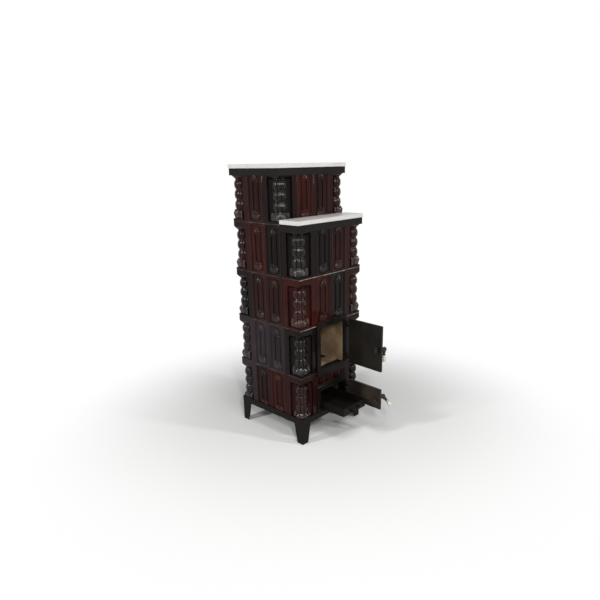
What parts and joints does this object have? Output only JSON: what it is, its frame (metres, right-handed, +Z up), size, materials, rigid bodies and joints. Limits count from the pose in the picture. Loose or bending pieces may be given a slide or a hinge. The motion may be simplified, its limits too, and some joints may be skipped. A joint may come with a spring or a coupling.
{
  "type": "tiled wood stove",
  "caption": "Tall square free-standing stove of glazed relief tiles in courses, marble slabs on two levels, steel legs, hinged fire and ash doors and a sliding ash drawer.",
  "frame": {"origin": "on the floor, under the middle of the box round the stove as drawn, doors open and drawer out", "axes": "+Z up, -Y out of the front with the doors, +X to the hinge side of the doors"},
  "size_m": [0.457, 0.7442, 1.33],
  "materials": {
    "glaze_red": "glossy oxblood glaze",
    "glaze_brown": "glossy dark brown glaze",
    "glaze_dark": "glossy near-black glaze",
    "glaze_violet": "glossy violet-brown glaze",
    "black_paint": "satin black paint",
    "sheet_steel": "matt black heatproof paint",
    "marble": "honed white marble with grey veins",
    "firebrick": "rough tan firebrick",
    "clay": "dry clay and mortar",
    "iron": "rough black cast iron",
    "porcelain": "glossy off-white porcelain"
  },
  "bodies": {
    "stove": {"ash_door_frame": "black_paint", "back_1": "glaze_dark", "back_2": "glaze_dark", "back_3": "glaze_dark", "back_4": "glaze_dark", "back_5": "glaze_dark", "base_frame": "black_paint", "clay_core": "clay", "corner_1_front_left": "glaze_brown", "corner_1_front_right": "glaze_dark", "corner_1_rear_left": "glaze_violet", "corner_1_rear_right": "glaze_dark", "corner_2_front_left": "glaze_dark", "corner_2_front_right": "glaze_dark", "corner_2_rear_left": "glaze_violet", "corner_2_rear_right": "glaze_brown", "corner_3_front_left": "glaze_red", "corner_3_front_right": "glaze_brown", "corner_3_rear_left": "glaze_dark", "corner_3_rear_right": "glaze_dark", "corner_4_front_left": "glaze_dark", "corner_4_front_right": "glaze_brown", "corner_4_rear_left": "glaze_brown", "corner_4_rear_right": "glaze_brown", "corner_5_front_left": "glaze_dark", "corner_5_front_right": "glaze_brown", "corner_5_rear_left": "glaze_brown", "corner_5_rear_right": "glaze_dark", "fire_door_frame": "black_paint", "firebox_lining": "firebrick", "floor_plate": "sheet_steel", "flue_collar": "iron", "front_3": "glaze_red", "front_4": "glaze_brown", "front_5": "glaze_brown", "front_strip": "glaze_red", "grate": "iron", "lower_slab": "marble", "lower_slab_frame": "black_paint", "side_1_left": "glaze_red", "side_1_right": "glaze_red", "side_2_left": "glaze_violet", "side_2_right": "glaze_violet", "side_3_left": "glaze_brown", "side_3_right": "glaze_brown", "side_4_left": "glaze_red", "side_4_right": "glaze_red", "side_5_left": "glaze_red", "side_5_right": "glaze_red", "upper_slab": "marble", "upper_slab_frame": "black_paint"},
    "fire_door": {"fire_door": "sheet_steel"},
    "fire_lever": {"fire_lever": "iron", "fire_grip": "porcelain"},
    "ash_door": {"ash_door": "sheet_steel"},
    "ash_lever": {"ash_lever": "iron", "ash_grip": "porcelain"},
    "ash_drawer": {"ash_drawer": "sheet_steel"}
  },
  "joints": [
    {"name": "fire_door_hinge", "type": "hinge", "parent": "stove", "child": "fire_door", "pos_m": [0.117, -0.12241, 0.463], "axis": [0, 0, 1], "range_deg": [-88, 50]},
    {"name": "fire_lever_turn", "type": "hinge", "parent": "fire_door", "child": "fire_lever", "pos_m": [0.11594, -0.31049, 0.446], "axis": [0.9994, -0.0349, 0], "range_deg": [-75, 90]},
    {"name": "ash_door_hinge", "type": "hinge", "parent": "stove", "child": "ash_door", "pos_m": [0.117, -0.12241, 0.199], "axis": [0, 0, 1], "range_deg": [-88, 20]},
    {"name": "ash_lever_turn", "type": "hinge", "parent": "ash_door", "child": "ash_lever", "pos_m": [0.11594, -0.31049, 0.192], "axis": [0.9994, -0.0349, 0], "range_deg": [-15, 150]},
    {"name": "ash_drawer_slide", "type": "slide", "parent": "stove", "child": "ash_drawer", "axis": [0, -1, 0], "range_m": [-0.255, 0.058]}
  ],
  "couplings": [
    {"joint": "ash_drawer_slide", "follows": "ash_door_hinge", "m_per_rad": 0.16603}
  ]
}
